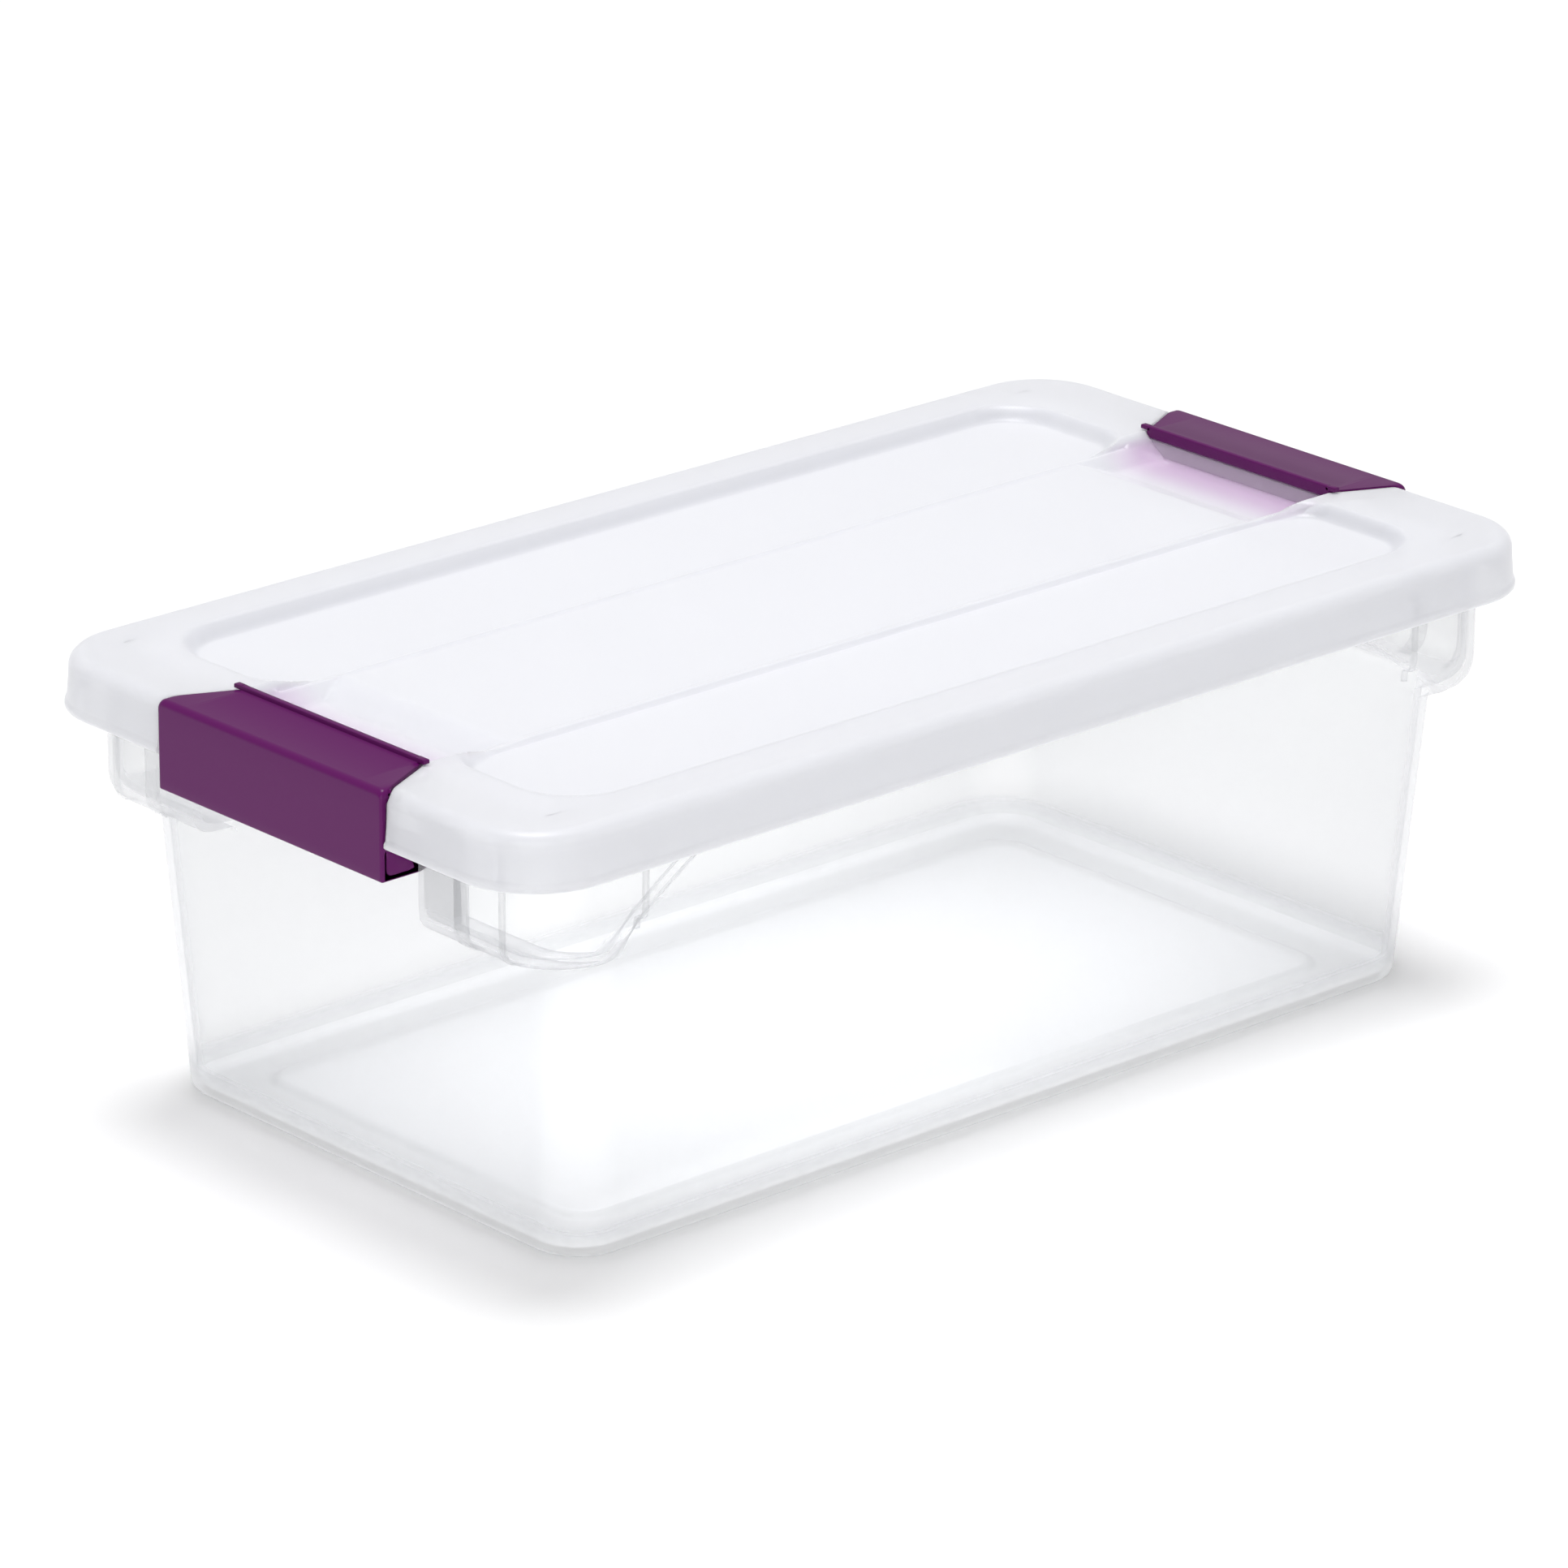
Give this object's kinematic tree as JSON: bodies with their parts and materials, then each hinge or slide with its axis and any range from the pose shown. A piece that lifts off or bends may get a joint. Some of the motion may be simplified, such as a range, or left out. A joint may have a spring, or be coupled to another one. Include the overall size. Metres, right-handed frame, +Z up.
{
  "type": "shoe box",
  "caption": "Clear plastic shoe box with a translucent lift-off lid and a purple snap latch at each end.",
  "frame": {"origin": "the middle of the underside, on the surface that the box stands on", "axes": "+X along the box towards the far latch, +Y across the box, +Z up"},
  "size_m": [0.356, 0.194, 0.124],
  "materials": {
    "clear_tub": "clear moulded polypropylene, slightly hazy, smooth",
    "milky_lid": "milky translucent moulded polypropylene, satin",
    "purple_latch": "deep purple opaque moulded plastic, satin"
  },
  "bodies": {
    "tub": {"tub": "clear_tub"},
    "lid": {"lid": "milky_lid"},
    "near_latch": {"near_latch": "purple_latch"},
    "far_latch": {"far_latch": "purple_latch"}
  },
  "joints": [
    {"name": "near_latch_swing", "type": "hinge", "parent": "tub", "child": "near_latch", "pos_m": [-0.1645, 0, 0.1036], "axis": [0, -1, 0], "range_deg": [0, 110]},
    {"name": "far_latch_swing", "type": "hinge", "parent": "tub", "child": "far_latch", "pos_m": [0.1645, 0, 0.1036], "axis": [0, 1, 0], "range_deg": [0, 110]},
    {"name": "lid_lift", "type": "slide", "parent": "tub", "child": "lid", "axis": [0, 0, 1], "range_m": [0, 0.15]}
  ]
}
